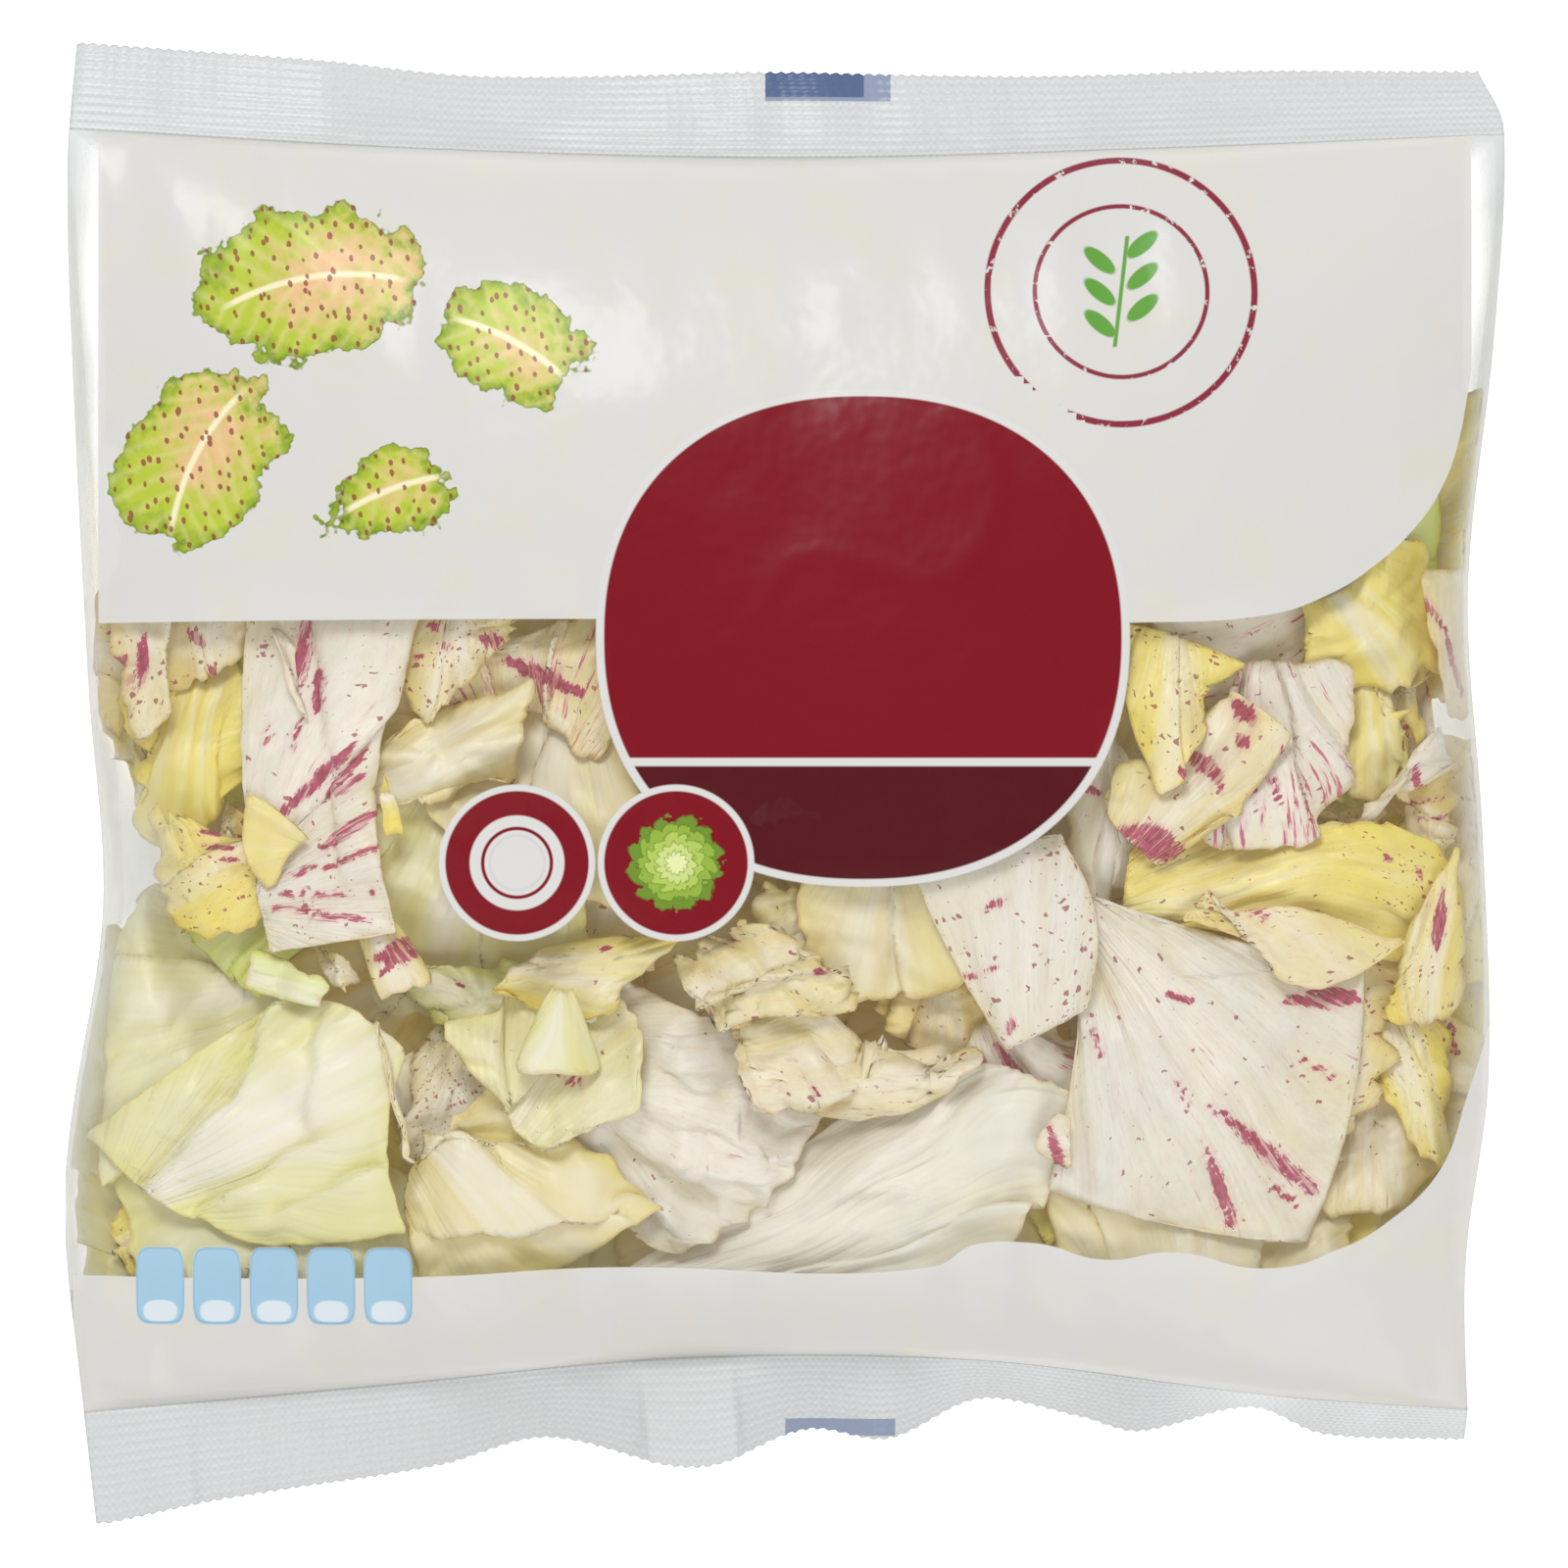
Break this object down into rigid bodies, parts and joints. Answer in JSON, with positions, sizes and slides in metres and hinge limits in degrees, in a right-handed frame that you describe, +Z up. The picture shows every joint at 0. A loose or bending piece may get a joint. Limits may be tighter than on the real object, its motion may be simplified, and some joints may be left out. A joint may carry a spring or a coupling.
{
  "type": "bag of cut radicchio",
  "caption": "Sealed clear film pillow bag of ready-cut variegated radicchio leaves, lying on its lapped back seam.",
  "frame": {"origin": "under the middle of the lying bag, on the surface that it rests on", "axes": "+X across the bag, +Y from the bottom crimp to the top crimp, +Z up out of the printed front"},
  "size_m": [0.245, 0.2525, 0.0472],
  "materials": {
    "film": "glossy clear film",
    "leaf_white": "moist leaf, slight sheen",
    "leaf_cream": "moist leaf, slight sheen",
    "leaf_pale": "moist leaf, slight sheen",
    "leaf_yellow": "moist leaf, slight sheen",
    "leaf_green": "moist leaf, slight sheen"
  },
  "bodies": {
    "root": {"film_bag": "film", "leaf_flag": "leaf_white", "leaf_speckled_slab": "leaf_white", "leaf_folded_spotted": "leaf_cream", "leaf_streaked_square": "leaf_white", "leaf_yellow_tongue": "leaf_yellow", "leaf_blotched": "leaf_cream", "leaf_tube": "leaf_cream", "leaf_green_roll": "leaf_green", "leaf_draped": "leaf_pale", "leaf_wavy_strip": "leaf_yellow", "leaf_jagged": "leaf_cream", "leaf_ruffled": "leaf_white", "leaf_yellow_fold": "leaf_yellow", "leaf_spotted_tip": "leaf_cream", "leaf_cream_corner": "leaf_cream", "leaf_spotted_top": "leaf_cream", "leaf_purple_roll": "leaf_cream", "leaf_cream_wedge": "leaf_yellow", "leaf_white_fan": "leaf_white", "leaf_white_rib": "leaf_white", "leaf_purple_ribbed": "leaf_white", "leaf_right_upright": "leaf_yellow", "leaf_big_yellow": "leaf_yellow", "leaf_white_lobe": "leaf_white", "leaf_yellow_corner": "leaf_yellow", "leaf_spoon": "leaf_white", "leaf_pale_lobe": "leaf_pale", "leaf_green_ruffle": "leaf_green", "leaf_white_curl": "leaf_cream", "leaf_pink_arch": "leaf_cream", "leaf_yellow_middle": "leaf_yellow", "leaf_green_middle": "leaf_green", "leaf_pale_large": "leaf_pale", "leaf_yellow_left": "leaf_yellow", "leaf_purple_stripe": "leaf_white", "leaf_cream_post": "leaf_cream", "leaf_olive_cup": "leaf_cream", "leaf_speckled_low": "leaf_white", "leaf_pink_band": "leaf_white", "leaf_speckled_mid": "leaf_cream", "leaf_yellow_ruffle": "leaf_yellow", "leaf_pink_bowl": "leaf_cream", "leaf_brown_lined": "leaf_cream", "leaf_under_square": "leaf_pale", "leaf_lower_right": "leaf_yellow", "leaf_low_left": "leaf_pale", "leaf_cream_under": "leaf_cream", "leaf_veined_deep": "leaf_pale", "leaf_upper_1": "leaf_pale", "leaf_upper_2": "leaf_yellow", "leaf_upper_3": "leaf_white", "leaf_upper_4": "leaf_green", "leaf_back_1": "leaf_pale", "leaf_back_2": "leaf_yellow", "leaf_back_3": "leaf_white", "leaf_back_4": "leaf_green", "leaf_back_5": "leaf_cream", "leaf_back_6": "leaf_pale"}
  },
  "joints": []
}
